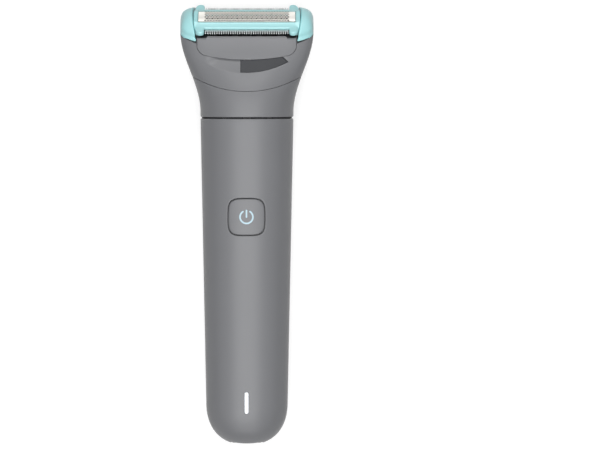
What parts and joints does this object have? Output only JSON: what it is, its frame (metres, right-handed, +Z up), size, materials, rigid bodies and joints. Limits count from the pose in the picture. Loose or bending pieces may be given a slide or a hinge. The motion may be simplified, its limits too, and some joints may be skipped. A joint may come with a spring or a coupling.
{
  "type": "body groomer",
  "caption": "Cordless body groomer on its back: two-shell handle with power button and light slit, pull-off flared head with a release catch, and a rocking foil and trimmer cartridge.",
  "frame": {"origin": "middle of the box round the groomer, on the surface it lies on", "axes": "+Y from the charging socket to the foil, +Z up out of the button face, +X to the right seen from above with the head away"},
  "size_m": [0.0532, 0.1754, 0.0294],
  "materials": {
    "satin_grey": "satin, very fine texture",
    "dark_grey": "satin",
    "teal": "semi-gloss",
    "black_plastic": "satin",
    "seal_rubber": "matte",
    "steel": "bright",
    "foil_steel": "perforated, bright",
    "comb_steel": "ground",
    "zinc": "zinc plated",
    "brass": "plain",
    "nickel": "nickel strip",
    "battery_sleeve": "shrink sleeve",
    "circuit_green": "solder mask",
    "lamp_white": "clear diffuse",
    "icon_blue": "clear tinted",
    "white_plastic": "satin"
  },
  "bodies": {
    "handle": {"front_shell": "satin_grey", "rear_shell": "satin_grey", "top_deck": "black_plastic", "neck_gasket": "seal_rubber", "neck": "satin_grey", "inner_frame": "black_plastic", "battery_cell": "battery_sleeve", "battery_tab_lower": "nickel", "battery_tab_upper": "nickel", "circuit_board": "circuit_green", "tact_switch": "black_plastic", "button_led": "lamp_white", "status_led": "lamp_white", "status_light_pipe": "lamp_white", "motor_can": "zinc", "motor_end_bell": "black_plastic", "motor_terminal_left": "brass", "motor_terminal_right": "brass", "charge_socket": "black_plastic", "charge_pin_left": "brass", "charge_pin_right": "brass", "socket_gasket": "seal_rubber", "frame_screw_left": "steel", "frame_screw_right": "steel", "board_screw_lower": "steel", "board_screw_upper": "steel", "neck_screw_left": "steel", "neck_screw_right": "steel"},
    "button": {"power_button": "satin_grey", "icon_lens": "icon_blue", "button_seal": "seal_rubber"},
    "rotor": {"motor_shaft": "steel", "eccentric_cam": "white_plastic"},
    "bridge": {"drive_bridge": "white_plastic", "drive_boot": "seal_rubber"},
    "shaving_head": {"head_housing": "satin_grey", "front_plate": "satin_grey", "side_cap_left": "teal", "side_cap_right": "teal", "pivot_pin_left": "steel", "pivot_pin_right": "steel"},
    "catch": {"release_catch": "dark_grey"},
    "cartridge": {"foil_frame": "teal", "foil": "foil_steel", "trimmer_guard_front": "comb_steel", "trimmer_guard_rear": "comb_steel"},
    "cutter": {"cutter_carriage": "black_plastic", "foil_cutter": "steel", "trimmer_blade_front": "comb_steel", "trimmer_blade_rear": "comb_steel", "cutter_spring_left": "steel", "cutter_spring_right": "steel"}
  },
  "joints": [
    {"name": "button_press", "type": "slide", "parent": "handle", "child": "button", "axis": [0, 0, -1], "range_m": [0, 0.0005], "stiffness_N_per_m": 2500},
    {"name": "motor_spin", "type": "hinge", "parent": "handle", "child": "rotor", "pos_m": [0, 0.0192, 0.00982], "axis": [0, 1, 0], "continuous": true},
    {"name": "bridge_swing", "type": "slide", "parent": "handle", "child": "bridge", "axis": [1, 0, 0], "range_m": [-0.001, 0.001]},
    {"name": "head_pull", "type": "slide", "parent": "handle", "child": "shaving_head", "axis": [0, 1, 0], "range_m": [0, 0.014]},
    {"name": "catch_press", "type": "slide", "parent": "shaving_head", "child": "catch", "axis": [0, 0, -1], "range_m": [0, 0.0008], "stiffness_N_per_m": 2500},
    {"name": "cartridge_rock", "type": "hinge", "parent": "shaving_head", "child": "cartridge", "pos_m": [0, 0.08014, 0.0162], "axis": [1, 0, 0], "range_deg": [-5, 5], "stiffness_Nm_per_rad": 0.1},
    {"name": "cutter_swing", "type": "slide", "parent": "cartridge", "child": "cutter", "axis": [1, 0, 0], "range_m": [-0.001, 0.001]}
  ],
  "couplings": [
    {"joint": "cutter_swing", "follows": "bridge_swing", "ratio": 1}
  ]
}
